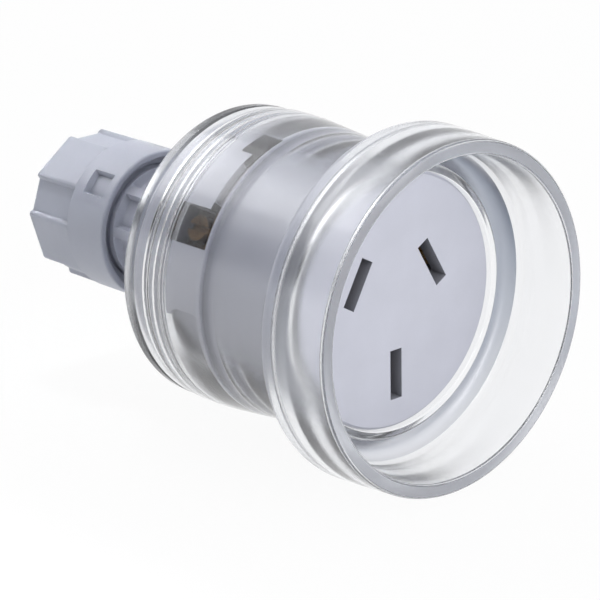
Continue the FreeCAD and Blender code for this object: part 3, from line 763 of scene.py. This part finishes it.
def nut_radius(radius, place, angle):
    """The lobes and channels of the grip and the windows of the collar, on the outside alone."""
    if radius < NUT_INSIDE or (radius < NUT_OUTSIDE and place < NUT_FRONT + 2):
        return radius
    collar_end = NUT_FRONT + COLLAR_LENGTH
    along = smooth(place, collar_end - 0.1, collar_end + 0.3)
    outer = smooth(radius, NUT_INSIDE, NUT_OUTSIDE)
    grip = (grip_radius(angle) - GRIP_RADIUS) * along * outer
    off = off_centre(angle, NUT_WINDOW_PHASE, NUT_WINDOWS) * COLLAR_RADIUS
    start = NUT_FRONT + NUT_WINDOW_START
    stop = start + NUT_WINDOW_LENGTH
    across = 1 - smooth(off, NUT_WINDOW_HALF - NUT_WINDOW_EDGE, NUT_WINDOW_HALF + NUT_WINDOW_EDGE)
    opened = smooth(place, start - NUT_WINDOW_EDGE, start + NUT_WINDOW_EDGE)
    closed = smooth(place, stop - NUT_WINDOW_EDGE, stop + NUT_WINDOW_EDGE)
    return radius + grip - NUT_WINDOW_DEPTH * across * (opened * (1 - closed))


def gland_nut():
    thread_rear = high_y("gland_stem") + 1
    seat = NUT_END - NUT_END_WALL
    collar_end = NUT_FRONT + COLLAR_LENGTH
    corners = [
        (NUT_BORE, NUT_FRONT, 0.25), (COLLAR_RADIUS, NUT_FRONT, 0.3),
        (COLLAR_RADIUS, collar_end, 0.2), (GRIP_RADIUS, collar_end + GRIP_STEP, 0.2),
        (GRIP_RADIUS, NUT_END, 0.7), (NUT_HOLE, NUT_END, 0.7), (NUT_HOLE, seat, 0),
        (WASHER_RADIUS, seat, 0), (WASHER_RADIUS, seat - WASHER_ROOM, 0.2),
        (NUT_THREAD, thread_rear, 0.2), (NUT_THREAD, NUT_FRONT + COLLAR_RECESS, 0.2),
        (NUT_BORE, NUT_FRONT + COLLAR_RECESS, 0.3)]

    def warped(radius, place):
        return radius > NUT_INSIDE - 0.1 and (place < collar_end + 0.6 or place > NUT_END - 0.1)

    points = divided(rounded_outline(corners), NUT_STEP, warped)
    return lathe("gland_nut_skin", points, NUT_SEGMENTS, nut_radius, GLAND_SHARP)


stands_for(gland_nut(), "gland_nut", GLAND_GREY)

# Gland stem: trapped flange, bearing, grip ribs, thread and the keys that stop it turning
STEM_RADIUS = 8.6
STEM_BORE = 5.4
STEM_FLANGE = 11.2
FLANGE_PLAY = 0.1
FLANGE_THICKNESS = 1.9
SEAL_RADIUS = 7.05
SEAL_DEPTH = 6.0
STEM_THREAD = 7.6
STEM_PITCH = 1.5
STEM_THREAD_DEPTH = 0.4
RIBS = 8
RIB_LENGTH = 9.0
RIB_PHASE = radians(40)
RIB_SIDE = (0.75, 1.0)
RIB_TOP = 0.15
RIB_HEIGHT = 1.15
RIB_END = 0.25
KEYS = 3
KEY_PHASE = pi / 2
KEY_WIDTH = 3.0
KEY_LOW = 9.3
KEY_HIGH = 10.8
KEY_EDGE = 0.15
STEM_SEGMENTS = 320
STEM_STEP = 0.15


def joined(pieces):
    """Join pieces into the first one."""
    bpy.ops.object.select_all(action="DESELECT")
    for piece in pieces:
        piece.select_set(True)
    bpy.context.view_layer.objects.active = pieces[0]
    bpy.ops.object.join()
    return pieces[0]


def gland_stem():
    front = low_y("gland_stem")
    end = high_y("gland_stem")
    ribs_rear = end - STEM_THREAD
    ribs_front = ribs_rear - RIB_LENGTH
    flange_rear = CAP_END - CAP_LAND - CAP_WALL - FLANGE_PLAY
    flange_front = flange_rear - FLANGE_THICKNESS
    seal_seat = end - SEAL_DEPTH
    corners = [
        (STEM_BORE, flange_front, 0.3), (STEM_FLANGE, flange_front, 0.3),
        (STEM_FLANGE, flange_rear, 0.2), (STEM_RADIUS, flange_rear, 0), (STEM_RADIUS, end, 0.3),
        (SEAL_RADIUS, end, 0.2), (SEAL_RADIUS, seal_seat, 0), (STEM_BORE, seal_seat, 0.2)]

    def warp(radius, place, angle):
        if abs(radius - STEM_RADIUS) > SAME_RADIUS:
            return radius
        between = smooth(off_centre(angle, RIB_PHASE, RIBS) * STEM_RADIUS, *RIB_SIDE)
        started = smooth(place, ribs_front, ribs_front + RIB_END)
        ended = smooth(place, ribs_rear - RIB_END, ribs_rear)
        radius -= (RIB_TOP + RIB_HEIGHT * between) * (started * (1 - ended))
        threaded = smooth(place, ribs_rear + 0.3, ribs_rear + 0.6) * (place < end - 0.35)
        return radius - STEM_THREAD_DEPTH * (1 - thread_wave(place, angle, STEM_PITCH)) * threaded

    def warped(radius, place):
        on_outside = radius >= STEM_RADIUS - 0.1
        return on_outside and (abs(place - ribs_front) < 0.6 or place > ribs_rear - 0.6)

    points = divided(rounded_outline(corners), STEM_STEP, warped)
    pieces = [lathe("gland_stem_skin", points, STEM_SEGMENTS, warp, GLAND_SHARP)]
    for number in range(KEYS):
        low = (KEY_LOW, front, -KEY_WIDTH / 2)
        high = (KEY_HIGH, flange_front + 0.5, KEY_WIDTH / 2)
        key = block("stem_key", low, high, KEY_EDGE)
        key.data.transform(Matrix.Rotation(-(KEY_PHASE + TURN * number / KEYS), 4, "Y"))
        pieces.append(key)
    return joined(pieces)


stands_for(gland_stem(), "gland_stem", STEM_GREY)

# Camera: fitted to the rings and slots of the photograph
AZIMUTH = radians(-42.36)
ELEVATION = radians(18.92)
ROLL = radians(-0.99)
FOCAL_PIXELS = 2932
FRAME_PIXELS = 600
SENSOR = 36
OFFSET = (12.718, -0.185)
DISTANCE = 390.06
CLIP_START = 0.01


def set_camera():
    back = Vector((sin(AZIMUTH) * cos(ELEVATION), -cos(AZIMUTH) * cos(ELEVATION), sin(ELEVATION)))
    level = Vector((cos(AZIMUTH), sin(AZIMUTH), 0))
    upright = back.cross(level)
    right = level * cos(ROLL) + upright * sin(ROLL)
    up = upright * cos(ROLL) - level * sin(ROLL)
    place = (back * DISTANCE - right * OFFSET[0] - up * OFFSET[1]) * MM
    data = bpy.data.cameras.new("camera")
    data.sensor_width = SENSOR
    data.lens = FOCAL_PIXELS / FRAME_PIXELS * SENSOR
    data.clip_start = CLIP_START
    camera = linked("camera", data)
    turn = Matrix((right, up, back)).transposed().to_4x4()
    camera.matrix_world = Matrix.Translation(place) @ turn
    bpy.context.scene.camera = camera


set_camera()

# Floor, world and lamps. A direction's X and Z, from -1 to 1, say where the world is dark.
FLOOR = -0.0249
FLOOR_SIZE = 6
FLOOR_GREY = (0.9, 0.9, 0.9)
EYE_SHARE = 0.94
CARD_TOP = (0.5, 0.6)
CARD_FOOT = (0.10, 0.25)
CARD_SIDE = (-0.5, -0.3)
CARD_FAR = (-0.95, -0.85)
TOP_FILL = 1.0
LOW_FILL = 0.6
LEFT_FILL = 0.55
LEFT_SIDE = (-0.7, 0.0)
EYE_WHITE = (1, 1, 1)
LIGHT_WHITE = (0.98, 0.985, 1)
MIDDLE = (0, 0.02, 0)


def mirrored(tree, path):
    """1 for the rays that metal and glass send on."""
    return calc(tree, "MAXIMUM", path.outputs["Is Transmission Ray"], path.outputs["Is Glossy Ray"])


def set_floor():
    """Pale matt floor that is white to the eye and in glass, and still takes a shadow."""
    material, tree = node_tree("pale_floor")
    diffuse = add(tree, "ShaderNodeBsdfDiffuse")
    diffuse.inputs["Color"].default_value = (*FLOOR_GREY, 1)
    glow = add(tree, "ShaderNodeEmission")
    glow.inputs["Strength"].default_value = 1.0
    path = add(tree, "ShaderNodeLightPath")
    eye = calc(tree, "MULTIPLY", path.outputs["Is Camera Ray"], EYE_SHARE)
    share = calc(tree, "MAXIMUM", eye, mirrored(tree, path))
    out = add(tree, "ShaderNodeOutputMaterial")
    surface = mixed(tree, share, diffuse.outputs[0], glow.outputs[0])
    tree.links.new(surface, out.inputs["Surface"])
    bpy.ops.mesh.primitive_plane_add(size=FLOOR_SIZE, location=(0, 0, FLOOR))
    plane = bpy.context.object
    plane.name = "floor"
    plane.data.materials.append(material)


def background(tree, colour, strength):
    node = add(tree, "ShaderNodeBackground")
    node.inputs["Color"].default_value = (*colour, 1)
    feed(tree, strength, node.inputs["Strength"])
    return node.outputs[0]


def set_world():
    """White to the eye, and a soft light that is weaker from below and from the left.

    Its light, and what metal and glass show of it, leaves out a dark card: low on the left,
    between CARD_FOOT and CARD_TOP, left of CARD_SIDE, and as a reflection right of CARD_FAR.
    """
    world = bpy.data.worlds.new("studio")
    bpy.context.scene.world = world
    world.use_nodes = True
    tree = world.node_tree
    tree.nodes.clear()
    way = add(tree, "ShaderNodeTexCoord")
    parts = add(tree, "ShaderNodeSeparateXYZ")
    tree.links.new(way.outputs["Generated"], parts.inputs[0])
    across, upward = parts.outputs["X"], parts.outputs["Z"]
    over = remap(tree, upward, 0, 1, *CARD_TOP)
    under = remap(tree, upward, 1, 0, *CARD_FOOT)
    beside = remap(tree, across, 0, 1, *CARD_SIDE)
    beyond = remap(tree, across, 1, 0, *CARD_FAR)
    bare = calc(tree, "MAXIMUM", calc(tree, "MAXIMUM", over, under), beside)
    height = remap(tree, over, LOW_FILL, TOP_FILL, 0, 1)
    left = remap(tree, across, LEFT_FILL, 1, *LEFT_SIDE)
    soft = calc(tree, "MULTIPLY", height, left)
    fill = background(tree, LIGHT_WHITE, calc(tree, "MULTIPLY", bare, soft))
    shine = background(tree, LIGHT_WHITE, calc(tree, "MAXIMUM", bare, beyond))
    white = background(tree, EYE_WHITE, 1.0)
    path = add(tree, "ShaderNodeLightPath")
    unseen = mixed(tree, mirrored(tree, path), fill, shine)
    out = add(tree, "ShaderNodeOutputWorld")
    tree.links.new(mixed(tree, path.outputs["Is Camera Ray"], unseen, white), out.inputs["Surface"])


def area_lamp(name, place, target, size, watts, spread=180):
    """A rectangular lamp that looks at a target. spread is in degrees."""
    data = bpy.data.lights.new(name, "AREA")
    data.spread = radians(spread)
    data.shape = "RECTANGLE"
    data.size, data.size_y = size
    data.energy = watts
    lamp = linked(name, data)
    lamp.location = place
    lamp.rotation_euler = (Vector(target) - Vector(place)).to_track_quat("-Z", "Y").to_euler()


set_floor()
set_world()
area_lamp("rear_softbox", place=(-0.08, 0.42, 0.38), target=MIDDLE, size=(0.40, 0.24), watts=0.55)
area_lamp("front_softbox", place=(-0.03, -0.52, 0.16), target=MIDDLE, size=(0.2, 0.3), watts=1.35)
area_lamp("table_softbox", place=(-0.09, 0.0, 0.30), target=(-0.09, 0.0, 0), size=(0.05, 0.10),
          watts=0.05, spread=12)
area_lamp("gland_softbox", place=(0.01, 0.063, 0.33), target=(0, 0.061, 0), size=(0.05, 0.02),
          watts=0.003, spread=12)

view = bpy.context.scene.view_settings
view.view_transform = "Standard"
